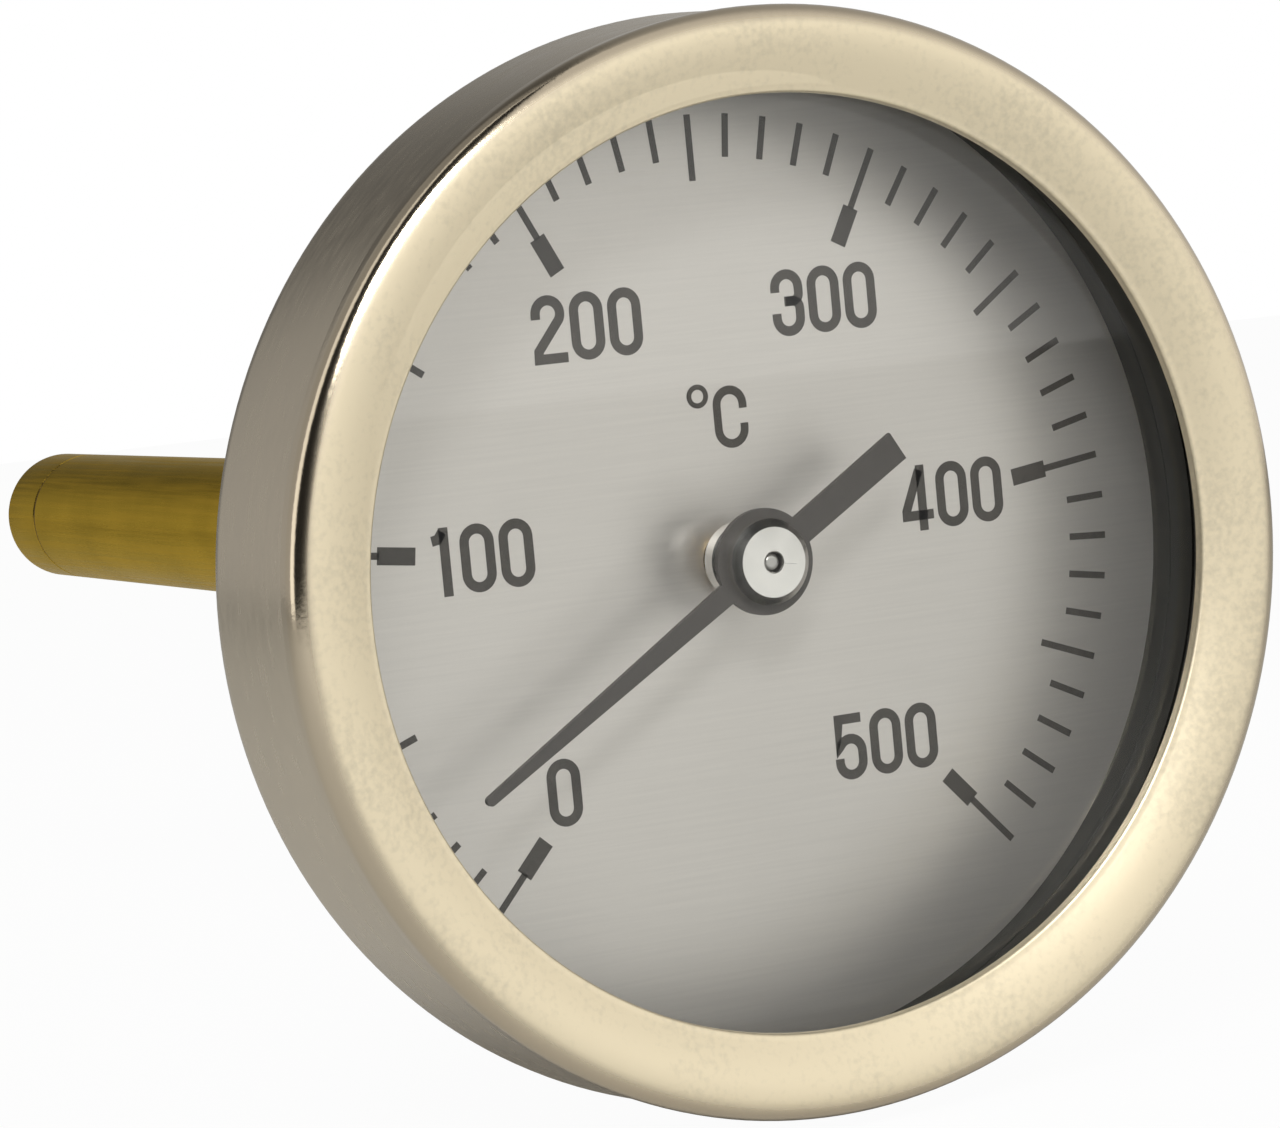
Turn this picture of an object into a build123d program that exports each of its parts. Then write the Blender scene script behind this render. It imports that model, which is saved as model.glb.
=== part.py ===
"""Dial oven thermometer: a round steel case with a plain brass stem.

The origin is the centre of the case's flat back, where it seats on the oven wall.
The stem points along +Y, the dial faces -Y and +Z is up on the dial. Heights are
measured from the back of the case towards the viewer, so they run along -Y, and
places down the stem are depths along +Y. All sizes are in millimetres.
"""
from build123d import *
from math import cos, radians, sin
import os

# Driving sizes: case and bezel
case_radius = 31.5
case_draft = 0.7
case_wall = 0.6
case_corner = 2.4
mouth_height = 10.6
bezel_overhang = 0.2
bezel_face_width = 4.85
bezel_rise = 2.0
bezel_crest = 1.3
crown_share = 0.4
crown_lift = 0.72
lip_rise = 0.75
skirt_wall = 0.45
skirt_length = 1.9

# Driving sizes: window, dial and the rings that clamp them
window_inset = 0.3
glass_thickness = 1.4
gasket_thickness = 0.6
gasket_width = 2.6
support_thickness = 0.9
dial_thickness = 0.5
ring_wall = 0.6
clamp_height = 1.95
groove_height = 6.2
groove_width = 0.25
groove_depth = 0.2

# Driving sizes: stem and what it holds
stem_radius = 5.0
stem_wall = 0.7
stem_length = 117.0
plug_length = 7.2
plug_spigot = 6.0
plug_edge = 0.9
pivot_length = 4.2
braze_thickness = 0.2
bush_flange_width = 2.5
bush_flange = 0.55
bush_shoulder = 0.3
bush_shank = 9.0
washer_thickness = 0.25
guide_radius = 1.5
guide_length = 8.0
mid_guide_length = 3.0
vent_radius = 0.9
vent_count = 4

# Driving sizes: bimetal coil
coil_wall_gap = 1.0
strip_width = 1.2
strip_thickness = 0.4
coil_turns = 11
coil_pitch = 3.0
collar_length = 3.0
collar_wall_gap = 0.9
anchor_length = 2.6

# Driving sizes: shaft and pointer
shaft_radius = 0.5
cap_window_gap = 1.27
pointer_thickness = 0.35
pointer_length = 21.6
pointer_tip = 0.29
pointer_root = 0.68
pointer_eye = 3.04
tail_length = 10.8
tail_root = 0.82
tail_end = 0.9
tail_corner = 0.25
spool_radius = 2.2
spool_neck = 1.6
spool_flange = 1.15
spool_height = 1.2
cap_radius = 2.46
cap_height = 1.03
cap_bevel = 0.46
cap_hole = 0.58
tip_recess = 0.2
thrust_radius = 1.5
thrust_length = 1.6

# Scale: even degrees of turn for each degree of temperature
scale_sweep = 275.4
scale_top = 500.0
rest_reading = 30.0

# Named clearances
press_gap = 0.05
running_gap = 0.04
seat_gap = 0.1
coil_gap = 0.2

# Heights and depths that follow
case_mouth_radius = case_radius - case_draft
bezel_radius = case_mouth_radius + bezel_overhang
bezel_lip_radius = bezel_radius - bezel_face_width
bezel_front = mouth_height + bezel_rise
bezel_lip_height = mouth_height + lip_rise
back_inside = case_wall
support_base = back_inside
dial_base = support_base + support_thickness
dial_face = dial_base + dial_thickness
clamp_top = dial_face + clamp_height
glass_front = mouth_height - window_inset
glass_back = glass_front - glass_thickness
pointer_height = glass_back - cap_window_gap - cap_height - pointer_thickness - dial_face
gasket_front = glass_front + gasket_thickness
lip_back = gasket_front
mouth_inside = case_mouth_radius - case_wall
skirt_radius = mouth_inside - press_gap
skirt_inside = skirt_radius - skirt_wall
glass_radius = skirt_inside - seat_gap
dial_radius = mouth_inside - seat_gap
ring_outside = glass_radius
ring_inside = ring_outside - ring_wall
tube_inside = stem_radius - stem_wall
shank_radius = tube_inside - press_gap
bush_flange_radius = stem_radius + bush_flange_width
bush_hub_radius = tube_inside + bush_shoulder
coil_radius = tube_inside - coil_wall_gap - strip_thickness / 2
collar_radius = tube_inside - collar_wall_gap
tube_length = stem_length - plug_length - braze_thickness
shaft_bore = shaft_radius + running_gap
guide_bore = guide_radius + press_gap
guide_top = dial_face + spool_height - seat_gap
pointer_top = dial_face + pointer_height + pointer_thickness
cap_top = pointer_top + cap_height
shaft_tip = cap_top - tip_recess
spigot_start = tube_length - plug_spigot
anchor_start = spigot_start - anchor_length
coil_length = coil_turns * coil_pitch
coil_end = anchor_start - coil_gap - strip_width / 2
coil_start = coil_end - coil_length
collar_end = coil_start - coil_gap - strip_width / 2
collar_start = collar_end - collar_length
mid_guide_depth = (bush_shank + collar_start - mid_guide_length) / 2
pivot_depth = spigot_start + pivot_length
shaft_foot = pivot_depth - seat_gap
rest_angle = 90 + scale_sweep / 2 - scale_sweep * rest_reading / scale_top
pointer_direction = (cos(radians(rest_angle)), 0, sin(radians(rest_angle)))
thrust_top = guide_top - guide_length - seat_gap

# Profiles of revolution are drawn as (radius, height); depths are negative heights
section = Plane(origin=(0, 0, 0), x_dir=(1, 0, 0), z_dir=(0, 0, -1))


def level(height):
    """The plane across the axis at a height, facing the viewer."""
    return Plane.XZ.offset(height)


def pointer_level(height):
    """The same plane, turned so that its x runs from the hub to the pointer's tip."""
    return Plane(origin=(0, -height, 0), x_dir=pointer_direction, z_dir=(0, -1, 0))


os.makedirs("parts", exist_ok=True)

# Case: a drawn cup with a slight draft, open to the front, holed for the stem bush
with BuildPart() as case_cup:
    with BuildSketch(section):
        with BuildLine():
            Polyline(
                (stem_radius + press_gap, 0),
                (case_radius, 0),
                (case_mouth_radius, mouth_height),
                (case_mouth_radius - case_wall, mouth_height),
                (case_radius - case_wall, back_inside),
                (stem_radius + press_gap, back_inside),
                close=True,
            )
        make_face()
    revolve(axis=Axis.Y)
    fillet(case_cup.edges().group_by(Axis.Y)[-1].sort_by(SortBy.RADIUS)[-1], case_corner)
    inner_corner = case_cup.edges().filter_by(
        lambda edge: abs(edge.center().Y + back_inside) < 0.001 and edge.radius > case_radius / 2
    )
    fillet(inner_corner, case_corner - case_wall)
    fillet(case_cup.edges().group_by(Axis.Y)[0], case_wall / 3)
case_cup.part.label = "case_cup"
export_step(case_cup.part, "parts/case_cup.step")

# Bezel: crowned front ring, bead over the case mouth, skirt pressed inside it
with BuildPart() as bezel_ring:
    crest_radius = bezel_radius - bezel_crest
    crown_width = crest_radius - bezel_lip_radius
    face_rise = bezel_front - bezel_lip_height
    with BuildSketch(section):
        with BuildLine():
            Line((bezel_lip_radius, lip_back), (bezel_lip_radius, bezel_lip_height))
            ThreePointArc(
                (bezel_lip_radius, bezel_lip_height),
                (bezel_lip_radius + crown_width * crown_share, bezel_lip_height + face_rise * crown_lift),
                (crest_radius, bezel_front),
            )
            RadiusArc((crest_radius, bezel_front), (bezel_radius, bezel_front - bezel_crest), bezel_crest)
            Polyline(
                (bezel_radius, bezel_front - bezel_crest),
                (bezel_radius, mouth_height),
                (skirt_radius, mouth_height),
                (skirt_radius, mouth_height - skirt_length),
                (skirt_inside, mouth_height - skirt_length),
                (skirt_inside, lip_back),
                (bezel_lip_radius, lip_back),
            )
        make_face()
    revolve(axis=Axis.Y)
bezel_ring.part.label = "bezel_ring"
export_step(bezel_ring.part, "parts/bezel_ring.step")

# Gasket between the bezel and the window
with BuildPart() as window_gasket:
    with BuildSketch(level(glass_front)):
        Circle(glass_radius)
        Circle(glass_radius - gasket_width, mode=Mode.SUBTRACT)
    extrude(amount=gasket_thickness)
window_gasket.part.label = "window_gasket"
export_step(window_gasket.part, "parts/window_gasket.step")

# Flat window
with BuildPart() as window_glass:
    with BuildSketch(level(glass_back)):
        Circle(glass_radius)
    extrude(amount=glass_thickness)
    chamfer(window_glass.edges(), glass_thickness / 10)
window_glass.part.label = "window_glass"
export_step(window_glass.part, "parts/window_glass.step")

# Spacer ring holds the window off the dial; a fine groove runs round its inside
with BuildPart() as spacer_ring:
    with BuildSketch(level(clamp_top)):
        Circle(ring_outside)
        Circle(ring_inside, mode=Mode.SUBTRACT)
    extrude(amount=glass_back - clamp_top)
    with BuildSketch(level(groove_height)):
        Circle(ring_inside + groove_depth)
    extrude(amount=groove_width, mode=Mode.SUBTRACT)
spacer_ring.part.label = "spacer_ring"
export_step(spacer_ring.part, "parts/spacer_ring.step")

# Clamp ring presses the dial's rim on its support
with BuildPart() as dial_clamp_ring:
    with BuildSketch(level(dial_face)):
        Circle(ring_outside)
        Circle(ring_inside, mode=Mode.SUBTRACT)
    extrude(amount=clamp_height)
    chamfer(dial_clamp_ring.edges().group_by(Axis.Y)[0].sort_by(SortBy.RADIUS)[0], ring_wall / 4)
dial_clamp_ring.part.label = "dial_clamp_ring"
export_step(dial_clamp_ring.part, "parts/dial_clamp_ring.step")

# Dial plate with a centre hole round the shaft guide
with BuildPart() as dial_plate:
    with BuildSketch(level(dial_base)):
        Circle(dial_radius)
        Circle(guide_radius + seat_gap, mode=Mode.SUBTRACT)
    extrude(amount=dial_thickness)
dial_plate.part.label = "dial_plate"
export_step(dial_plate.part, "parts/dial_plate.step")

# Dial support: a steel disc with a middle opening for the bush and round windows
with BuildPart() as dial_support:
    window_circle = (dial_radius + bush_flange_radius) / 2
    window_radius = (dial_radius - bush_flange_radius) / 4
    with BuildSketch(level(support_base)):
        Circle(dial_radius - case_corner / 2)
        Circle(bush_flange_radius + seat_gap, mode=Mode.SUBTRACT)
        with PolarLocations(window_circle, vent_count):
            Circle(window_radius, mode=Mode.SUBTRACT)
    extrude(amount=support_thickness)
dial_support.part.label = "dial_support"
export_step(dial_support.part, "parts/dial_support.step")

# Washer under the bush's flange
with BuildPart() as bush_washer:
    with BuildSketch(level(back_inside)):
        Circle(bush_flange_radius)
        Circle(bush_hub_radius + seat_gap, mode=Mode.SUBTRACT)
    extrude(amount=washer_thickness)
bush_washer.part.label = "bush_washer"
export_step(bush_washer.part, "parts/bush_washer.step")

# Stem bush: its flange is inside the case and its shank is pressed into the tube
with BuildPart() as stem_bush:
    with BuildSketch(level(back_inside + washer_thickness)):
        Circle(bush_flange_radius)
    extrude(amount=bush_flange)
    with BuildSketch(level(-bush_shank)):
        Circle(shank_radius)
    extrude(amount=bush_shank)
    with BuildSketch(level(0)):
        Circle(bush_hub_radius)
    extrude(amount=back_inside + washer_thickness)
    with BuildSketch(level(-bush_shank)):
        Circle(guide_bore)
    extrude(amount=bush_shank + dial_face, mode=Mode.SUBTRACT)
    chamfer(stem_bush.edges().group_by(Axis.Y)[-1].sort_by(SortBy.RADIUS)[-1], stem_wall / 2)
stem_bush.part.label = "stem_bush"
export_step(stem_bush.part, "parts/stem_bush.step")

# Stem: a plain drawn tube
with BuildPart() as stem_tube:
    with BuildSketch(level(-tube_length)):
        Circle(stem_radius)
        Circle(tube_inside, mode=Mode.SUBTRACT)
    extrude(amount=tube_length)
stem_tube.part.label = "stem_tube"
export_step(stem_tube.part, "parts/stem_tube.step")

# Braze ring in the joint between the tube and its end plug
with BuildPart() as braze_ring:
    with BuildSketch(level(-tube_length - braze_thickness)):
        Circle(stem_radius - press_gap)
        Circle(tube_inside, mode=Mode.SUBTRACT)
    extrude(amount=braze_thickness)
braze_ring.part.label = "braze_ring"
export_step(braze_ring.part, "parts/braze_ring.step")

# End plug with a spigot in the tube and a blind pivot hole for the shaft
with BuildPart() as end_plug:
    with BuildSketch(level(-stem_length)):
        Circle(stem_radius)
    extrude(amount=plug_length)
    with BuildSketch(level(-stem_length + plug_length)):
        Circle(shank_radius)
    extrude(amount=plug_spigot + braze_thickness)
    with BuildSketch(level(-spigot_start)):
        Circle(shaft_bore)
    extrude(amount=-(pivot_depth - spigot_start), mode=Mode.SUBTRACT)
    fillet(end_plug.edges().group_by(Axis.Y)[-1], plug_edge)
end_plug.part.label = "end_plug"
export_step(end_plug.part, "parts/end_plug.step")

# Upper guide: the shaft's main bearing, it stands up through the dial
with BuildPart() as upper_guide:
    with BuildSketch(level(guide_top - guide_length)):
        Circle(guide_radius)
        Circle(shaft_bore, mode=Mode.SUBTRACT)
    extrude(amount=guide_length)
    chamfer(upper_guide.edges().group_by(Axis.Y)[0].sort_by(SortBy.RADIUS)[-1], guide_radius / 6)
upper_guide.part.label = "upper_guide"
export_step(upper_guide.part, "parts/upper_guide.step")

# Middle guide: a vented disc that keeps the shaft central in the tube
with BuildPart() as middle_guide:
    vent_circle = (shank_radius + shaft_bore) / 2
    with BuildSketch(level(-mid_guide_depth - mid_guide_length)):
        Circle(shank_radius)
        Circle(shaft_bore, mode=Mode.SUBTRACT)
        with PolarLocations(vent_circle, vent_count):
            Circle(vent_radius, mode=Mode.SUBTRACT)
    extrude(amount=mid_guide_length)
middle_guide.part.label = "middle_guide"
export_step(middle_guide.part, "parts/middle_guide.step")

# Coil anchor: carries the fixed end of the coil on the plug's spigot
with BuildPart() as coil_anchor:
    with BuildSketch(level(-spigot_start)):
        Circle(shank_radius)
        Circle(shaft_radius * 2, mode=Mode.SUBTRACT)
    extrude(amount=anchor_length)
coil_anchor.part.label = "coil_anchor"
export_step(coil_anchor.part, "parts/coil_anchor.step")

# Bimetal coil: a flat strip wound round the shaft
with BuildPart() as bimetal_coil:
    with BuildLine() as winding:
        Helix(
            pitch=coil_pitch,
            height=coil_length,
            radius=coil_radius,
            center=(0, coil_end, 0),
            direction=(0, -1, 0),
        )
    outwards = winding.line @ 0 - Vector(0, coil_end, 0)
    with BuildSketch(Plane(origin=winding.line @ 0, x_dir=outwards, z_dir=winding.line % 0)):
        Rectangle(strip_thickness, strip_width)
    sweep(is_frenet=True)
bimetal_coil.part.label = "bimetal_coil"
export_step(bimetal_coil.part, "parts/bimetal_coil.step")

# Shaft: one straight wire from the pivot in the plug to the pointer's cap
with BuildPart() as pointer_shaft:
    with BuildSketch(level(-shaft_foot)):
        Circle(shaft_radius)
    extrude(amount=shaft_foot + shaft_tip)
    fillet(pointer_shaft.edges().group_by(Axis.Y)[0], shaft_radius / 2)
pointer_shaft.part.label = "pointer_shaft"
export_step(pointer_shaft.part, "parts/pointer_shaft.step")

# Coil collar: carries the moving end of the coil on the shaft
with BuildPart() as coil_collar:
    with BuildSketch(level(-collar_end)):
        Circle(collar_radius)
        Circle(shaft_radius, mode=Mode.SUBTRACT)
    extrude(amount=collar_length)
    chamfer(coil_collar.edges().group_by(Axis.Y)[0].sort_by(SortBy.RADIUS)[-1], collar_length / 5)
coil_collar.part.label = "coil_collar"
export_step(coil_collar.part, "parts/coil_collar.step")

# Thrust collar: stops the shaft from rising through the upper guide
with BuildPart() as thrust_collar:
    with BuildSketch(level(thrust_top - thrust_length)):
        Circle(thrust_radius - seat_gap)
        Circle(shaft_radius, mode=Mode.SUBTRACT)
    extrude(amount=thrust_length)
thrust_collar.part.label = "thrust_collar"
export_step(thrust_collar.part, "parts/thrust_collar.step")

# Spool: flanged bush that lifts the pointer off the dial and runs on the guide's top
with BuildPart() as pointer_spool:
    with BuildSketch(level(dial_face + spool_height)):
        Circle(spool_radius)
        Circle(shaft_radius, mode=Mode.SUBTRACT)
    extrude(amount=spool_flange)
    with BuildSketch(level(dial_face + spool_height)):
        Circle(spool_neck)
        Circle(shaft_radius, mode=Mode.SUBTRACT)
    extrude(amount=pointer_height - spool_height)
    chamfer(pointer_spool.edges().filter_by(GeomType.CIRCLE).group_by(SortBy.RADIUS)[-1], spool_flange / 6)
pointer_spool.part.label = "pointer_spool"
export_step(pointer_spool.part, "parts/pointer_spool.step")

# Pointer: tapered needle, round eye and broad tail, cut from thin sheet
with BuildPart() as pointer_blade:
    with BuildSketch(pointer_level(dial_face + pointer_height)) as blade_outline:
        with BuildLine():
            Polyline(
                (0, pointer_root),
                (pointer_length - pointer_tip, pointer_tip),
                (pointer_length - pointer_tip, -pointer_tip),
                (0, -pointer_root),
                close=True,
            )
        make_face()
        with Locations((pointer_length - pointer_tip, 0)):
            Circle(pointer_tip)
        with BuildLine():
            Polyline(
                (0, tail_root),
                (-tail_length, tail_end),
                (-tail_length, -tail_end),
                (0, -tail_root),
                close=True,
            )
        make_face()
        fillet(blade_outline.vertices().sort_by(Axis((0, 0, 0), pointer_direction))[:2], tail_corner)
        Circle(pointer_eye)
        Circle(shaft_radius, mode=Mode.SUBTRACT)
    extrude(amount=pointer_thickness)
pointer_blade.part.label = "pointer_blade"
export_step(pointer_blade.part, "parts/pointer_blade.step")

# Cap: bevelled button pressed on the shaft over the pointer's eye
with BuildPart() as pointer_cap:
    with BuildSketch(level(pointer_top)):
        Circle(cap_radius)
    extrude(amount=cap_height)
    chamfer(pointer_cap.edges().group_by(Axis.Y)[0], cap_bevel)
    with BuildSketch(level(pointer_top)):
        Circle(cap_hole)
    extrude(amount=cap_height, mode=Mode.SUBTRACT)
pointer_cap.part.label = "pointer_cap"
export_step(pointer_cap.part, "parts/pointer_cap.step")
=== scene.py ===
"""Looks of a dial oven thermometer: steel case, frosted bezel, printed dial, brass stem.

Every surface of revolution turns about the Y axis. A profile is written as rows of
(radius, height) in millimetres, where height runs from the case's back towards the
viewer, along -Y. Meshes are computed with numpy as whole arrays and put in metres.
"""

import logging
import math
from dataclasses import dataclass, field
from enum import Enum

import bpy
import numpy as np
from mathutils import Matrix, Vector


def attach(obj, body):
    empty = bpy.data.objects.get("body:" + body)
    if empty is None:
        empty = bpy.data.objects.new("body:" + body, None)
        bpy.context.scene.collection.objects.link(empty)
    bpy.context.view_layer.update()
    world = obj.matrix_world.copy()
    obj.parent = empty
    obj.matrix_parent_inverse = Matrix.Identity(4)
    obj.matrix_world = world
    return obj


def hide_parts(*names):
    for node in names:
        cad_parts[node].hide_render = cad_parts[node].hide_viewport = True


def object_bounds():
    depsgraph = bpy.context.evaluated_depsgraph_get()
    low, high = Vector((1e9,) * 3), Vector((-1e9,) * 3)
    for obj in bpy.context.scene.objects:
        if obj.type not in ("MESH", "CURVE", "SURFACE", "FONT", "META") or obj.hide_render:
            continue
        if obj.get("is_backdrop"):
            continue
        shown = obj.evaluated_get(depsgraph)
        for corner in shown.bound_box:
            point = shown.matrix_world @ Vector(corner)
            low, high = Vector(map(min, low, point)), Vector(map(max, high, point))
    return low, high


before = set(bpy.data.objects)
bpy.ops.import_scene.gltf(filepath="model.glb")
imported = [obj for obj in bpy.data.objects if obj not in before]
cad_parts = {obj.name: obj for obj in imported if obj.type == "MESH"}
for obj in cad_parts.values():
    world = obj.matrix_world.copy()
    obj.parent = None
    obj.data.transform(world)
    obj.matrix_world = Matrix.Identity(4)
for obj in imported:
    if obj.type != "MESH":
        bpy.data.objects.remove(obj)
log = logging.getLogger("oven_thermometer")
MM = 0.001
ROUND = 192
SMALL_ROUND = 96
AXIS_GAP = 0.02
GRAIN_DEPTH = 0.00002


class Rider(Enum):
    """The bodies that a piece can ride on."""

    CASE = "root"
    POINTER = "pointer"


# ---------------------------------------------------------------- shapes


def arc(centre: tuple[float, float], radius: float, start: float, end: float, steps: int = 10) -> np.ndarray:
    """Points on a circular arc: centre plus radius times (cos, sin) of an even angle.

    Args:
        centre: middle of the circle, mm.
        radius: circle's radius, mm.
        start: first angle in degrees.
        end: last angle in degrees.
        steps: number of chords.

    Returns:
        Rows of two coordinates.
    """
    angle = np.radians(np.linspace(start, end, steps + 1))
    return np.stack([centre[0] + radius * np.cos(angle), centre[1] + radius * np.sin(angle)], 1)


def outline(*parts: object) -> np.ndarray:
    """Join points and arcs into one outline, without repeated neighbours.

    Args:
        parts: (x, y) pairs or arrays of rows.

    Returns:
        Rows of two coordinates.
    """
    rows = np.concatenate([np.atleast_2d(np.asarray(part, float)) for part in parts])
    step = np.linalg.norm(np.diff(rows, axis=0, append=rows[:1]), axis=1)
    return rows[step > 1e-6]


def add_mesh(name: str, vertices: np.ndarray, faces: np.ndarray) -> bpy.types.Object:
    """Make an object at the origin from arrays, with its faces turned outwards.

    Args:
        name: object's name.
        vertices: rows of x, y, z in mm.
        faces: rows of three or four vertex numbers.

    Returns:
        The new object, linked to the scene.
    """
    mesh = bpy.data.meshes.new(name)
    mesh.from_pydata((vertices * MM).tolist(), [], faces.tolist())
    mesh.validate()
    mesh.update()
    obj = bpy.data.objects.new(name, mesh)
    bpy.context.scene.collection.objects.link(obj)
    return obj


def shade(obj: bpy.types.Object, angle: float = 32.0) -> bpy.types.Object:
    """Shade a mesh smooth, with an edge kept sharp where its faces turn by more than the angle."""
    mesh = obj.data
    mesh.polygons.foreach_set("use_smooth", np.ones(len(mesh.polygons), bool))
    mesh.set_sharp_from_angle(angle=math.radians(angle))
    return obj


def revolve(name: str, profile: np.ndarray, segments: int = ROUND) -> bpy.types.Object:
    """Turn a closed profile about the Y axis.

    Each point is (r cos t, -h, r sin t) for the profile's radius r and height h and an
    even angle t, so the surface is a closed grid in both directions.

    Args:
        name: object's name.
        profile: rows of (radius, height), no radius zero.
        segments: number of steps round the axis.

    Returns:
        The ring as a new object.
    """
    area = np.sum(profile[:, 0] * np.roll(profile[:, 1], -1) - np.roll(profile[:, 0], -1) * profile[:, 1])
    rows = profile if area > 0 else profile[::-1]
    turn = np.linspace(0, 2 * np.pi, segments, endpoint=False)[:, None]
    points = np.stack(
        [rows[:, 0] * np.cos(turn), -rows[:, 1] + 0 * turn, rows[:, 0] * np.sin(turn)], -1
    ).reshape(-1, 3)
    count = len(rows)
    ring, place = np.meshgrid(np.arange(segments), np.arange(count), indexing="ij")
    here, after = ring * count + place, ((ring + 1) % segments) * count + place
    here_next = ring * count + (place + 1) % count
    after_next = ((ring + 1) % segments) * count + (place + 1) % count
    faces = np.stack([here, after, after_next, here_next], -1).reshape(-1, 4)
    return shade(add_mesh(name, points, faces))


def ribbon(paths: list[np.ndarray], width: float, base: float, top: float) -> tuple[np.ndarray, np.ndarray]:
    """Carry a thin rectangle along flat paths on the dial.

    Every point of a path gives four corners: half the width to each side along the
    mitre of its two runs, at the base height and at the top height.

    Args:
        paths: each a row list of (x, z) in mm; a closed path repeats its first point.
        width: stroke's width, mm.
        base: height of the stroke's underside, mm.
        top: height of the stroke's face, mm.

    Returns:
        Vertices in mm and quad faces.
    """
    vertices, faces, first = [], [], 0
    for path in paths:
        closed = np.allclose(path[0], path[-1])
        rows = path[:-1] if closed else path
        back = rows - np.roll(rows, 1, 0)
        ahead = np.roll(rows, -1, 0) - rows
        if not closed:
            back[0], ahead[-1] = ahead[0], back[-1]
        back /= np.linalg.norm(back, axis=1, keepdims=True)
        ahead /= np.linalg.norm(ahead, axis=1, keepdims=True)
        along = back + ahead
        along /= np.linalg.norm(along, axis=1, keepdims=True)
        side = np.stack([-along[:, 1], along[:, 0]], 1)
        reach = width / 2 / np.clip(np.sum(along * ahead, 1, keepdims=True), 0.5, 1)
        left, right = rows + side * reach, rows - side * reach
        count = len(rows)
        corner = [(left, base), (left, top), (right, top), (right, base)]
        block = np.stack([np.stack([p[:, 0], np.full(count, -h), p[:, 1]], 1) for p, h in corner], 1)
        vertices.append(block.reshape(-1, 3))
        run = np.arange(count if closed else count - 1)
        for k in range(4):
            a, b = run * 4 + k, run * 4 + (k + 1) % 4
            c, d = ((run + 1) % count) * 4 + (k + 1) % 4, ((run + 1) % count) * 4 + k
            faces.append(first + np.stack([a, d, c, b], 1))
        if not closed:
            last = first + (count - 1) * 4
            ends = [[first, first + 1, first + 2, first + 3], [last + 3, last + 2, last + 1, last]]
            faces.append(np.array(ends))
        first += count * 4
    return np.concatenate(vertices), np.concatenate(faces)


def bars(angles: np.ndarray, inner: np.ndarray, outer: np.ndarray) -> list[np.ndarray]:
    """Straight radial strokes: from the inner to the outer radius at each angle in degrees."""
    turn = np.radians(angles)
    way = np.stack([np.cos(turn), np.sin(turn)], 1)
    return [np.stack([w * i, w * o]) for w, i, o in zip(way, inner, outer)]


# ---------------------------------------------------------------- materials


@dataclass(frozen=True)
class Finish:
    """A metal, paint or rubber finish with fine variation in colour, gloss and relief.

    Colours are linear; scales are in waves per metre of the object's own coordinates.
    """

    name: str
    colour: tuple[float, float, float]
    metallic: float = 1.0
    rough: float = 0.3
    rough_spread: float = 0.06
    tint_spread: float = 0.08
    grain: tuple[float, float, float] = (900.0, 900.0, 900.0)
    cloud: float = 60.0
    relief: float = 0.02
    edge: tuple[float, float, float] = (1.0, 1.0, 1.0)

    def build(self) -> bpy.types.Material:
        """Make the node material.

        Returns:
            A Principled material whose colour, roughness and bump come from two noises.
        """
        material = bpy.data.materials.new(self.name)
        material.use_nodes = True
        nodes, links = material.node_tree.nodes, material.node_tree.links
        shader = nodes["Principled BSDF"]
        shader.inputs["Metallic"].default_value = self.metallic
        shader.inputs["Specular Tint"].default_value = (*self.edge, 1)
        place = nodes.new("ShaderNodeTexCoord")
        stretch = nodes.new("ShaderNodeMapping")
        stretch.inputs["Scale"].default_value = self.grain
        fine = nodes.new("ShaderNodeTexNoise")
        fine.inputs["Scale"].default_value = 1.0
        fine.inputs["Detail"].default_value = 3.0
        broad = nodes.new("ShaderNodeTexNoise")
        broad.inputs["Scale"].default_value = self.cloud
        broad.inputs["Detail"].default_value = 4.0
        links.new(place.outputs["Object"], stretch.inputs["Vector"])
        links.new(stretch.outputs["Vector"], fine.inputs["Vector"])
        links.new(place.outputs["Object"], broad.inputs["Vector"])
        self._vary_colour(nodes, links, fine, broad, shader)
        self._vary_gloss(nodes, links, fine, shader)
        bump = nodes.new("ShaderNodeBump")
        bump.inputs["Strength"].default_value = self.relief * 10
        bump.inputs["Distance"].default_value = GRAIN_DEPTH
        links.new(fine.outputs["Fac"], bump.inputs["Height"])
        links.new(bump.outputs["Normal"], shader.inputs["Normal"])
        return material

    def _vary_colour(self, nodes: object, links: object, fine: object, broad: object, shader: object) -> None:
        """Mix a darker and a lighter tint of the colour by the sum of both noises."""
        total = nodes.new("ShaderNodeMath")
        total.operation = "ADD"
        links.new(fine.outputs["Fac"], total.inputs[0])
        links.new(broad.outputs["Fac"], total.inputs[1])
        ramp = nodes.new("ShaderNodeMapRange")
        ramp.inputs["From Min"].default_value = 0.7
        ramp.inputs["From Max"].default_value = 1.3
        links.new(total.outputs[0], ramp.inputs["Value"])
        mix = nodes.new("ShaderNodeMix")
        mix.data_type = "RGBA"
        dark = [c * (1 - self.tint_spread) for c in self.colour]
        light = [min(1.0, c * (1 + self.tint_spread)) for c in self.colour]
        mix.inputs["A"].default_value = (*dark, 1)
        mix.inputs["B"].default_value = (*light, 1)
        links.new(ramp.outputs["Result"], mix.inputs["Factor"])
        links.new(mix.outputs["Result"], shader.inputs["Base Color"])

    def _vary_gloss(self, nodes: object, links: object, fine: object, shader: object) -> None:
        """Spread the roughness about its middle value by the fine noise."""
        gloss = nodes.new("ShaderNodeMapRange")
        gloss.inputs["From Min"].default_value = 0.3
        gloss.inputs["From Max"].default_value = 0.7
        gloss.inputs["To Min"].default_value = max(0.02, self.rough - self.rough_spread)
        gloss.inputs["To Max"].default_value = self.rough + self.rough_spread
        links.new(fine.outputs["Fac"], gloss.inputs["Value"])
        links.new(gloss.outputs["Result"], shader.inputs["Roughness"])


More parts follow.
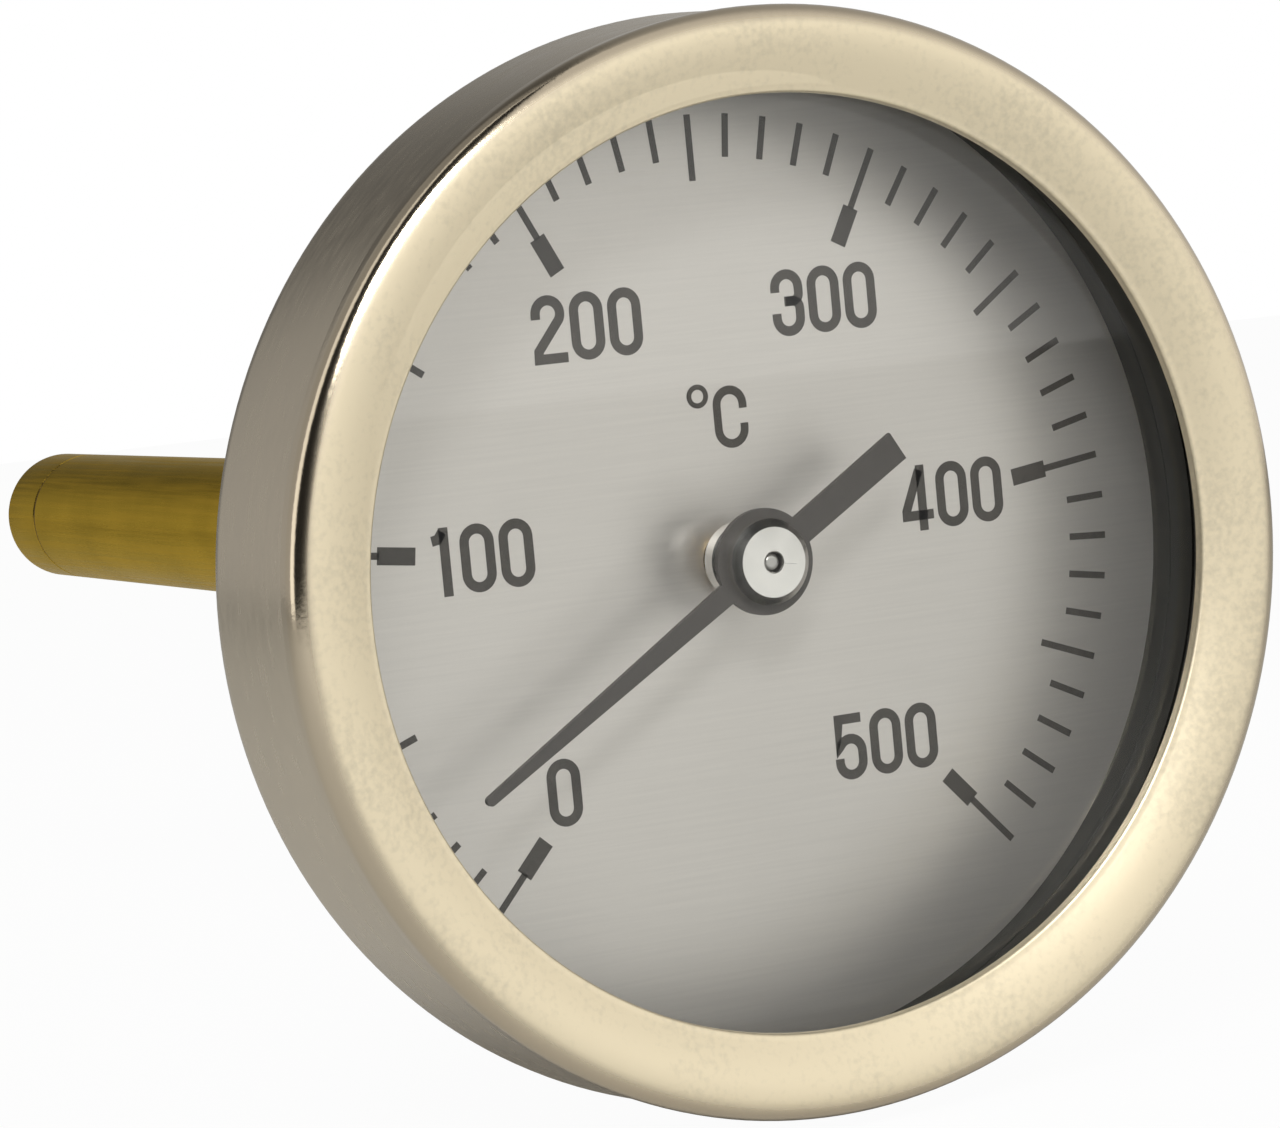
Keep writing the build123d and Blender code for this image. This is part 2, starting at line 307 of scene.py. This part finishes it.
@dataclass(frozen=True)
class FrostedBezel:
    """Nickel plate that is frosted on the face and smoother on the outer bead."""

    name: str = "frosted_nickel"
    bead_radius: float = 30.2
    face_colour: tuple[float, float, float, float] = (0.73, 0.645, 0.475, 1)
    grain_colour: tuple[float, float, float, float] = (0.50, 0.45, 0.34, 1)
    bead_colour: tuple[float, float, float, float] = (0.58, 0.50, 0.38, 1)

    def build(self) -> bpy.types.Material:
        """Make the material: radius from the axis blends the frosted face into the smooth bead.

        Returns:
            The node material.
        """
        material = bpy.data.materials.new(self.name)
        material.use_nodes = True
        nodes, links = material.node_tree.nodes, material.node_tree.links
        shader = nodes["Principled BSDF"]
        shader.inputs["Metallic"].default_value = 1.0
        place = nodes.new("ShaderNodeTexCoord")
        flat = nodes.new("ShaderNodeVectorMath")
        flat.operation = "MULTIPLY"
        flat.inputs[1].default_value = (1, 0, 1)
        length = nodes.new("ShaderNodeVectorMath")
        length.operation = "LENGTH"
        links.new(place.outputs["Object"], flat.inputs[0])
        links.new(flat.outputs["Vector"], length.inputs[0])
        bead = nodes.new("ShaderNodeMapRange")
        bead.interpolation_type = "SMOOTHSTEP"
        bead.inputs["From Min"].default_value = (self.bead_radius - 0.5) * MM
        bead.inputs["From Max"].default_value = (self.bead_radius + 0.4) * MM
        links.new(length.outputs["Value"], bead.inputs["Value"])
        sand = nodes.new("ShaderNodeTexNoise")
        sand.inputs["Scale"].default_value = 2600.0
        sand.inputs["Detail"].default_value = 3.0
        patch = nodes.new("ShaderNodeTexNoise")
        patch.inputs["Scale"].default_value = 140.0
        patch.inputs["Detail"].default_value = 5.0
        links.new(place.outputs["Object"], sand.inputs["Vector"])
        links.new(place.outputs["Object"], patch.inputs["Vector"])
        grain = nodes.new("ShaderNodeMath")
        grain.operation = "MULTIPLY"
        links.new(sand.outputs["Fac"], grain.inputs[0])
        links.new(patch.outputs["Fac"], grain.inputs[1])
        speck = nodes.new("ShaderNodeMapRange")
        speck.inputs["From Min"].default_value = 0.22
        speck.inputs["From Max"].default_value = 0.42
        speck.inputs["To Max"].default_value = 0.45
        links.new(grain.outputs[0], speck.inputs["Value"])
        face = nodes.new("ShaderNodeMix")
        face.data_type = "RGBA"
        face.inputs["A"].default_value = self.face_colour
        face.inputs["B"].default_value = self.grain_colour
        links.new(speck.outputs["Result"], face.inputs["Factor"])
        colour = nodes.new("ShaderNodeMix")
        colour.data_type = "RGBA"
        colour.inputs["B"].default_value = self.bead_colour
        links.new(face.outputs["Result"], colour.inputs["A"])
        links.new(bead.outputs["Result"], colour.inputs["Factor"])
        links.new(colour.outputs["Result"], shader.inputs["Base Color"])
        rough = nodes.new("ShaderNodeMapRange")
        rough.inputs["To Min"].default_value = 0.46
        rough.inputs["To Max"].default_value = 0.13
        links.new(bead.outputs["Result"], rough.inputs["Value"])
        links.new(rough.outputs["Result"], shader.inputs["Roughness"])
        bump = nodes.new("ShaderNodeBump")
        bump.inputs["Strength"].default_value = 0.35
        bump.inputs["Distance"].default_value = GRAIN_DEPTH
        links.new(sand.outputs["Fac"], bump.inputs["Height"])
        links.new(bump.outputs["Normal"], shader.inputs["Normal"])
        return material


@dataclass(frozen=True)
class ClearWindow:
    """Clear flat glass: see-through, with a mirror share that grows at a slant."""

    name: str = "clear_window"
    gloss: float = 0.02
    index: float = 1.35

    def build(self) -> bpy.types.Material:
        """Make the material from a transparent and a glossy part mixed by Fresnel.

        Returns:
            The node material.
        """
        material = bpy.data.materials.new(self.name)
        material.use_nodes = True
        nodes, links = material.node_tree.nodes, material.node_tree.links
        nodes.remove(nodes["Principled BSDF"])
        clear = nodes.new("ShaderNodeBsdfTransparent")
        clear.inputs["Color"].default_value = (0.985, 0.99, 0.985, 1)
        mirror = nodes.new("ShaderNodeBsdfAnisotropic")
        mirror.inputs["Roughness"].default_value = self.gloss
        share = nodes.new("ShaderNodeFresnel")
        share.inputs["IOR"].default_value = self.index
        mix = nodes.new("ShaderNodeMixShader")
        links.new(share.outputs["Fac"], mix.inputs["Fac"])
        links.new(clear.outputs["BSDF"], mix.inputs[1])
        links.new(mirror.outputs["BSDF"], mix.inputs[2])
        links.new(mix.outputs["Shader"], nodes["Material Output"].inputs["Surface"])
        return material


CASE_STEEL = Finish("satin_case_steel", (0.60, 0.53, 0.42), rough=0.24, rough_spread=0.05, tint_spread=0.05,
                    grain=(500.0, 2200.0, 500.0), relief=0.006)
STEM_BRASS = Finish("drawn_brass", (0.50, 0.325, 0.045), rough=0.28, rough_spread=0.08, tint_spread=0.14,
                    grain=(3000.0, 60.0, 3000.0), cloud=180.0, relief=0.02, edge=(0.95, 0.85, 0.5))
BRAZE = Finish("dark_braze", (0.10, 0.055, 0.02), rough=0.5, tint_spread=0.3, cloud=700.0)
DIAL = Finish("brushed_dial", (0.73, 0.695, 0.66), metallic=0.55, rough=0.38, rough_spread=0.05,
              tint_spread=0.045, grain=(120.0, 5000.0, 5000.0), cloud=40.0, relief=0.012)
INNER_RING = Finish("dark_inner_ring", (0.045, 0.045, 0.04), metallic=0.3, rough=0.45)
RUBBER = Finish("black_gasket", (0.02, 0.02, 0.02), metallic=0.0, rough=0.7)
PLAIN_STEEL = Finish("plain_steel", (0.50, 0.49, 0.47), rough=0.3)
TURNED_BRASS = Finish("turned_brass", (0.60, 0.42, 0.15), rough=0.25)
BIMETAL = Finish("bimetal_strip", (0.42, 0.39, 0.34), rough=0.35)
TURNED_ALLOY = Finish("turned_aluminium", (0.92, 0.90, 0.87), rough=0.22, rough_spread=0.05, tint_spread=0.05,
                      grain=(400.0, 4000.0, 400.0), relief=0.004)
POINTER_PAINT = Finish("pointer_paint", (0.085, 0.076, 0.070), metallic=0.0, rough=0.42, tint_spread=0.1,
                       grain=(2500.0, 2500.0, 2500.0), relief=0.02)
INK = Finish("scale_ink", (0.075, 0.066, 0.058), metallic=0.0, rough=0.5, tint_spread=0.22,
             grain=(3500.0, 3500.0, 3500.0), cloud=500.0, relief=0.03)


def dress(
    obj: bpy.types.Object, material: bpy.types.Material, rider: Rider, slot: str, *nodes: str
) -> bpy.types.Object:
    """Give a new piece its material and its body, and hide the nodes it stands for."""
    obj.data.materials.append(material)
    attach(obj, rider.value)
    if nodes:
        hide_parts(*nodes)
    log.info("made %s on %s", obj.name, rider.value)
    return obj


# ---------------------------------------------------------------- sub-assemblies


@dataclass
class Case:
    """The drawn case and the bezel that closes it. Sizes in mm."""

    back_radius: float = 31.33
    mouth_radius: float = 30.8
    mouth_height: float = 10.6
    corner: float = 2.4
    wall: float = 0.6
    hole: float = 5.05
    bezel_radius: float = 31.0
    bezel_front: float = 12.6
    bead: float = 1.3
    lip_radius: float = 26.15
    lip_height: float = 11.35
    lip_edge: float = 0.25
    underside: float = 10.9
    skirt_outer: float = 30.15
    skirt_inner: float = 29.7
    skirt_foot: float = 8.7

    def build(self) -> None:
        """Build and dress both shells."""
        steel = CASE_STEEL.build()
        dress(revolve("case_shell", self.case_profile()), steel, Rider.CASE, "case_steel", "case_cup")
        bezel = FrostedBezel().build()
        dress(revolve("bezel", self.bezel_profile()), bezel, Rider.CASE, "bezel_steel", "bezel_ring")

    def case_profile(self) -> np.ndarray:
        """Cup: flat back, rounded corner, side with a slight draft, and the same inside by the wall."""
        draft = math.degrees(math.atan((self.back_radius - self.mouth_radius) / self.mouth_height))
        outer = arc((self.back_radius - self.corner, self.corner), self.corner, -90, draft)
        inner = arc((self.back_radius - self.corner, self.corner), self.corner - self.wall, draft, -90)
        rim = self.wall / 3
        return outline(
            (self.hole, 0), outer, (self.mouth_radius + 0.02, self.mouth_height - rim),
            (self.mouth_radius - rim, self.mouth_height), (self.mouth_radius - self.wall, self.mouth_height),
            inner, (self.hole, self.wall),
        )

    def bezel_profile(self) -> np.ndarray:
        """Ring: rounded lip, gently crowned face rising to a tight bead, and a skirt behind."""
        crest = self.bezel_radius - self.bead
        rise = np.linspace(0, 1, 16)
        start = self.lip_radius + self.lip_edge
        face = np.stack(
            [start + (crest - start) * rise,
             self.lip_height + self.lip_edge + (self.bezel_front - self.lip_height - self.lip_edge)
             * np.sin(rise * math.pi / 2)], 1)
        lip = arc((start, self.lip_height), self.lip_edge, 180, 90, 5)
        bead = arc((crest, self.bezel_front - self.bead), self.bead, 90, 0, 12)
        return outline(
            (self.lip_radius, self.underside), lip, face, bead, (self.bezel_radius, self.mouth_height + 0.1),
            (self.bezel_radius - 0.1, self.mouth_height), (self.skirt_outer, self.mouth_height),
            (self.skirt_outer, self.skirt_foot), (self.skirt_inner, self.skirt_foot),
            (self.skirt_inner, self.underside),
        )


@dataclass
class Stem:
    """The brass tube with its brazed end plug. Sizes in mm."""

    radius: float = 5.0
    bore: float = 4.3
    tube_end: float = 109.6
    plug_start: float = 109.8
    end: float = 117.0
    edge: float = 0.9
    spigot_radius: float = 4.25
    spigot_end: float = 103.6
    pivot_end: float = 107.6
    pivot: float = 0.54
    ease: float = 0.12

    def build(self) -> None:
        """Build and dress the tube, the joint and the plug."""
        brass = STEM_BRASS.build()
        tube = outline((self.bore, 0), (self.radius, 0), (self.radius, -self.tube_end + self.ease),
                       (self.radius - self.ease, -self.tube_end), (self.bore, -self.tube_end))
        joint = outline((self.bore, -self.tube_end), (self.radius - 0.05, -self.tube_end),
                        (self.radius - 0.05, -self.plug_start), (self.bore, -self.plug_start))
        corner = arc((self.radius - self.edge, -self.end + self.edge), self.edge, 0, -90, 8)
        plug = outline((AXIS_GAP, -self.pivot_end), (self.pivot, -self.pivot_end),
                       (self.pivot, -self.spigot_end), (self.spigot_radius, -self.spigot_end),
                       (self.spigot_radius, -self.plug_start), (self.radius - self.ease, -self.plug_start),
                       (self.radius, -self.plug_start - self.ease), corner, (AXIS_GAP, -self.end))
        dress(revolve("stem", tube, SMALL_ROUND), brass, Rider.CASE, "stem_brass", "stem_tube")
        dress(revolve("stem_joint", joint, SMALL_ROUND), BRAZE.build(), Rider.CASE, "braze", "braze_ring")
        dress(revolve("stem_plug", plug, SMALL_ROUND), brass, Rider.CASE, "stem_brass", "end_plug")


@dataclass
class Window:
    """The glass and the two rings behind it. Sizes in mm."""

    outer: float = 29.6
    inner: float = 29.0
    dial_face: float = 2.0
    clamp_top: float = 3.95
    groove: float = 6.2
    groove_width: float = 0.25
    groove_depth: float = 0.2
    glass_back: float = 8.9
    glass_front: float = 10.3
    ease: float = 0.14

    def build(self) -> None:
        """Build and dress the rings and the glass."""
        dark = INNER_RING.build()
        clamp = outline((self.inner, self.dial_face), (self.outer, self.dial_face),
                        (self.outer, self.clamp_top),
                        (self.inner + self.ease, self.clamp_top), (self.inner, self.clamp_top - self.ease))
        spacer = outline((self.inner, self.clamp_top), (self.outer, self.clamp_top),
                         (self.outer, self.glass_back),
                         (self.inner, self.glass_back), (self.inner, self.groove + self.groove_width),
                         (self.inner + self.groove_depth, self.groove + self.groove_width),
                         (self.inner + self.groove_depth, self.groove), (self.inner, self.groove))
        glass = outline((AXIS_GAP, self.glass_back), (self.outer - self.ease, self.glass_back),
                        (self.outer, self.glass_back + self.ease), (self.outer, self.glass_front - self.ease),
                        (self.outer - self.ease, self.glass_front),
                        (AXIS_GAP, self.glass_front))
        dress(revolve("clamp_ring", clamp), dark, Rider.CASE, "inner_ring", "dial_clamp_ring")
        dress(revolve("spacer", spacer), dark, Rider.CASE, "inner_ring", "spacer_ring")
        dress(revolve("glass", glass), ClearWindow().build(), Rider.CASE, "window", "window_glass")


@dataclass
class DialPrint:
    """The printed scale: ticks, blocks, numbers and the degree sign. Sizes in mm."""

    face: float = 2.0
    ink: float = 0.02
    top: float = 500.0
    sweep: float = 275.4
    outer: float = 25.56
    short_inner: float = 23.07
    long_inner: float = 21.76
    block_inner: float = 19.56
    block_length: float = 2.3
    block_width: float = 1.0
    tick_width: float = 0.40
    height: float = 3.87
    width: float = 2.10
    stroke: float = 0.57
    pitch: float = 2.40
    numbers: dict[str, tuple[float, float]] = field(default_factory=lambda: {
        "0": (-11.72, -11.88), "100": (-15.62, 1.98), "200": (-7.52, 14.22),
        "300": (7.80, 14.28), "400": (15.18, 2.05), "500": (9.25, -11.88),
    })

    def build(self) -> None:
        """Build the printing as five thin meshes and dress them with ink."""
        ink = INK.build()
        groups = {
            "scale_ticks": (self.ticks(), self.tick_width),
            "scale_blocks": (self.blocks(), self.block_width),
            "scale_numbers": (self.figures(), self.stroke),
            "degree_ring": ([arc((-1.0, 9.50), 0.54, 0, 360, 28)], 0.30),
            "degree_letter": ([self.letter_c(1.02, 8.13)], 0.50),
        }
        for name, (paths, width) in groups.items():
            vertices, faces = ribbon(paths, width, self.face, self.face + self.ink)
            dress(add_mesh(name, vertices, faces), ink, Rider.CASE, "pointer")

    def angle(self, value: np.ndarray) -> np.ndarray:
        """Angle of a temperature: half the sweep left of the top at zero, then even."""
        return 90 + self.sweep / 2 - self.sweep * value / self.top

    def ticks(self) -> list[np.ndarray]:
        """One stroke every ten degrees, longer at fifties, down to the block at hundreds."""
        value = np.arange(0, self.top + 1, 10)
        inner = np.where(value % 50 == 0, self.long_inner, self.short_inner)
        return bars(self.angle(value), inner, np.full(len(value), self.outer))

    def blocks(self) -> list[np.ndarray]:
        """A wide block under each hundred's stroke."""
        value = np.arange(0, self.top + 1, 100)
        inner = np.full(len(value), self.block_inner)
        return bars(self.angle(value), inner, inner + self.block_length)

    def figures(self) -> list[np.ndarray]:
        """The strokes of every number, each digit one pitch from the last."""
        paths = []
        for text, (x, z) in self.numbers.items():
            for place, digit in enumerate(text):
                centre = np.array([x + (place - (len(text) - 1) / 2) * self.pitch, z])
                paths += [path + centre for path in self.digit(digit)]
        return paths

    def digit(self, name: str) -> list[np.ndarray]:
        """Centre lines of a narrow upright digit, drawn about its own middle."""
        right = (self.width - self.stroke) / 2
        top = (self.height - self.stroke) / 2
        bow = top - right
        edge = self.stroke / 2
        if name == "0":
            loop = outline(arc((0, bow), right, 0, 180, 14), arc((0, -bow), right, 180, 360, 14))
            return [np.concatenate([loop, loop[:1]])]
        if name == "1":
            return [np.array([(0.42, -top - edge), (0.42, top + edge)]),
                    np.array([(-0.32, top - 0.42), (0.05, top - 0.36), (0.36, top + 0.05)])]
        if name == "2":
            curve = arc((0, bow), right, 180, -28, 14)
            return [outline((-right, bow - 0.28), curve, (-right + 0.02, -top + 0.45), (-right, -top),
                            (right + edge, -top))]
        if name == "3":
            waist, turn = 0.08, 0.42
            return [outline((-right, bow - 0.25), arc((0, bow), right, 180, 0, 12),
                            arc((right - turn, waist + turn), turn, 0, -90, 5), (-0.2, waist)),
                    outline((-0.1, waist), arc((right - turn, waist - turn), turn, 90, 0, 5),
                            arc((0, -bow), right, 0, -180, 12), (-right, -bow + 0.30))]
        if name == "4":
            return [np.array([(0.34, -top - edge), (0.34, top + edge)]),
                    np.array([(0.26, top), (-right, -0.72), (-right, -1.02), (right + edge, -1.02)])]
        return [outline((right + 0.05, top), (-right + 0.08, top), (-right, -0.05),
                        arc((0, -0.30), right, 150, 0, 10), (right, -bow), arc((0, -bow), right, 0, -180, 12),
                        (-right, -bow + 0.25))]

    def letter_c(self, x: float, z: float) -> np.ndarray:
        """An open upright oval."""
        right, top = 0.84, 1.55
        bow = top - right
        return outline((right, bow - 0.28), arc((0, bow), right, 0, 180, 12),
                       arc((0, -bow), right, 180, 360, 12),
                       (right, -bow + 0.28)) + np.array([x, z])


@dataclass
class Hub:
    """The turned pieces at the pointer's middle. Sizes in mm."""

    shaft: float = 0.5
    spool_base: float = 3.2
    spool_radius: float = 2.2
    spool_flange: float = 1.15
    neck: float = 1.6
    blade_base: float = 6.25
    cap_base: float = 6.6
    cap_radius: float = 2.46
    cap_top: float = 7.63
    cap_bevel: float = 0.46
    cap_hole: float = 0.58
    ease: float = 0.12

    def build(self) -> None:
        """Build and dress the spool and the cap."""
        alloy = TURNED_ALLOY.build()
        flange = self.spool_base + self.spool_flange
        spool = outline((self.shaft, self.spool_base), (self.spool_radius - self.ease, self.spool_base),
                        (self.spool_radius, self.spool_base + self.ease),
                        (self.spool_radius, flange - self.ease),
                        (self.spool_radius - self.ease, flange), (self.neck, flange),
                        (self.neck, self.blade_base),
                        (self.shaft, self.blade_base))
        cap = outline((self.cap_hole, self.cap_base), (self.cap_radius, self.cap_base),
                      (self.cap_radius, self.cap_top - self.cap_bevel),
                      (self.cap_radius - self.cap_bevel, self.cap_top),
                      (self.cap_hole + self.ease / 2, self.cap_top),
                      (self.cap_hole, self.cap_top - self.ease / 2))
        dress(revolve("spool", spool, SMALL_ROUND), alloy, Rider.POINTER, "turned_aluminium", "pointer_spool")
        dress(revolve("cap", cap, SMALL_ROUND), alloy, Rider.POINTER, "turned_aluminium", "pointer_cap")


def dress_frame() -> None:
    """Give every CAD node that still shows its own finish."""
    table = {
        "dial_plate": DIAL, "pointer_blade": POINTER_PAINT, "window_gasket": RUBBER,
        "dial_support": PLAIN_STEEL, "bush_washer": PLAIN_STEEL, "pointer_shaft": PLAIN_STEEL,
        "stem_bush": TURNED_BRASS, "upper_guide": TURNED_BRASS, "middle_guide": TURNED_BRASS,
        "coil_anchor": TURNED_BRASS, "coil_collar": TURNED_BRASS, "thrust_collar": TURNED_BRASS,
        "bimetal_coil": BIMETAL,
    }
    made = {finish.name: finish.build() for finish in set(table.values())}
    for node, finish in table.items():
        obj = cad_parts[node]
        obj.data.materials.clear()
        obj.data.materials.append(made[finish.name])
        log.info("dressed %s in %s", node, finish.name)


# ---------------------------------------------------------------- studio


@dataclass(frozen=True)
class Studio:
    """Camera, lamps, world and floor. Lengths in mm, angles in degrees."""

    azimuth: float = -25.94
    elevation: float = 4.74
    roll: float = 5.47
    distance: float = 241.9
    aim: tuple[float, float, float] = (-5.64, -2.0, 0.41)
    lens: float = 119.5

    def build(self) -> None:
        """Set the view transform and make everything round the object."""
        bpy.context.scene.view_settings.view_transform = "Standard"
        self.place_camera()
        self.light()
        self.surround()
        self.floor()

    def place_camera(self) -> None:
        """Camera on the line back from the aim point, turned about that line by the roll."""
        azimuth, elevation = math.radians(self.azimuth), math.radians(self.elevation)
        back = Vector((math.sin(azimuth) * math.cos(elevation), -math.cos(azimuth) * math.cos(elevation),
                       math.sin(elevation)))
        right = Vector((0, 0, 1)).cross(back).normalized()
        up = back.cross(right)
        turn = math.radians(self.roll)
        rolled_up = up * math.cos(turn) + right * math.sin(turn)
        rolled_right = rolled_up.cross(back)
        camera = bpy.data.objects.new("camera", bpy.data.cameras.new("camera"))
        camera.data.lens = self.lens
        camera.data.sensor_width = 36.0
        camera.data.clip_start = 0.01
        place = (Vector(self.aim) + back * self.distance) * MM
        camera.matrix_world = Matrix((
            (rolled_right.x, rolled_up.x, back.x, place.x),
            (rolled_right.y, rolled_up.y, back.y, place.y),
            (rolled_right.z, rolled_up.z, back.z, place.z),
            (0, 0, 0, 1),
        ))
        bpy.context.scene.collection.objects.link(camera)
        bpy.context.scene.camera = camera

    def light(self) -> None:
        """A key from the front right and a soft fill from above the front left.

        The key stands below the floor's level, and reaches the object because the floor
        casts no shadow.
        """
        lamps = {
            "key": ((320, -370, -235), 260, 0.4),
            "fill": ((-230, -380, 380), 300, 3.0),
        }
        for name, (place, size, power) in lamps.items():
            lamp = bpy.data.lights.new(name, "AREA")
            lamp.shape = "DISK"
            lamp.size = size * MM
            lamp.energy = power
            obj = bpy.data.objects.new(name, lamp)
            obj.location = Vector(place) * MM
            obj.rotation_euler = (-obj.location).to_track_quat("-Z", "Y").to_euler()
            bpy.context.scene.collection.objects.link(obj)

    def surround(self) -> None:
        """A world that is white to the camera and a soft banded studio to the object.

        The band colour follows the compass angle of a direction, through a ramp, and is
        scaled a little by its height.
        """
        world = bpy.data.worlds.new("studio")
        bpy.context.scene.world = world
        world.use_nodes = True
        nodes, links = world.node_tree.nodes, world.node_tree.links
        nodes.clear()
        place = nodes.new("ShaderNodeTexCoord")
        split = nodes.new("ShaderNodeSeparateXYZ")
        links.new(place.outputs["Generated"], split.inputs[0])
        compass = nodes.new("ShaderNodeMath")
        compass.operation = "ARCTAN2"
        links.new(split.outputs["X"], compass.inputs[0])
        flip = nodes.new("ShaderNodeMath")
        flip.operation = "MULTIPLY"
        flip.inputs[1].default_value = -1.0
        links.new(split.outputs["Y"], flip.inputs[0])
        links.new(flip.outputs[0], compass.inputs[1])
        share = nodes.new("ShaderNodeMapRange")
        share.inputs["From Min"].default_value = -math.pi
        share.inputs["From Max"].default_value = math.pi
        links.new(compass.outputs[0], share.inputs["Value"])
        ramp = nodes.new("ShaderNodeValToRGB")
        bands = {-180: 0.15, -172: 0.15, -162: 0.40, -140: 0.42, -112: 0.45, -108: 1.3, -92: 1.3, -84: 0.02,
                 -26: 0.02, -12: 0.95, 0: 1.05, 60: 1.0, 110: 0.6, 150: 0.43, 172: 0.18, 180: 0.15}
        elements = ramp.color_ramp.elements
        while len(elements) < len(bands):
            elements.new(0.5)
        for element, (angle, value) in zip(elements, sorted(bands.items())):
            element.position = (angle + 180) / 360
            element.color = (value, value * 0.985, value * 0.955, 1)
        links.new(share.outputs["Result"], ramp.inputs["Fac"])
        soft = nodes.new("ShaderNodeBackground")
        links.new(ramp.outputs["Color"], soft.inputs["Color"])
        dim = nodes.new("ShaderNodeMapRange")
        dim.inputs["From Min"].default_value = 0.05
        dim.inputs["From Max"].default_value = 0.9
        dim.inputs["To Min"].default_value = 1.2
        dim.inputs["To Max"].default_value = 0.75
        links.new(split.outputs["Z"], dim.inputs["Value"])
        links.new(dim.outputs["Result"], soft.inputs["Strength"])
        white = nodes.new("ShaderNodeBackground")
        white.inputs["Color"].default_value = (1, 1, 1, 1)
        path = nodes.new("ShaderNodeLightPath")
        mix = nodes.new("ShaderNodeMixShader")
        links.new(path.outputs["Is Camera Ray"], mix.inputs["Fac"])
        links.new(soft.outputs[0], mix.inputs[1])
        links.new(white.outputs[0], mix.inputs[2])
        out = nodes.new("ShaderNodeOutputWorld")
        links.new(mix.outputs[0], out.inputs["Surface"])

    def floor(self) -> None:
        """A pale floor just under the case, nearly white to the camera, that blocks no lamp."""
        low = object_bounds()[0][2] / MM - 0.5
        half = 900.0
        corners = np.array([(-half, -half, low), (half, -half, low), (half, half, low), (-half, half, low)])
        obj = add_mesh("floor", corners, np.array([[0, 1, 2, 3]]))
        material = bpy.data.materials.new("pale_floor")
        material.use_nodes = True
        nodes, links = material.node_tree.nodes, material.node_tree.links
        shader = nodes["Principled BSDF"]
        shader.inputs["Base Color"].default_value = (0.55, 0.55, 0.54, 1)
        shader.inputs["Roughness"].default_value = 0.9
        glow = nodes.new("ShaderNodeEmission")
        mix = nodes.new("ShaderNodeMixShader")
        path = nodes.new("ShaderNodeLightPath")
        weight = nodes.new("ShaderNodeMath")
        weight.operation = "MULTIPLY"
        weight.inputs[1].default_value = 0.96
        links.new(path.outputs["Is Camera Ray"], weight.inputs[0])
        links.new(weight.outputs[0], mix.inputs["Fac"])
        links.new(shader.outputs[0], mix.inputs[1])
        links.new(glow.outputs[0], mix.inputs[2])
        links.new(mix.outputs[0], nodes["Material Output"].inputs["Surface"])
        obj.data.materials.append(material)
        obj.visible_shadow = False
        obj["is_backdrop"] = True


def main() -> None:
    """Build every sub-assembly in order."""
    logging.basicConfig(level=logging.INFO)
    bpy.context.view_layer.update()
    Case().build()
    Stem().build()
    Window().build()
    DialPrint().build()
    Hub().build()
    dress_frame()
    Studio().build()


if __name__ == "__main__":
    main()
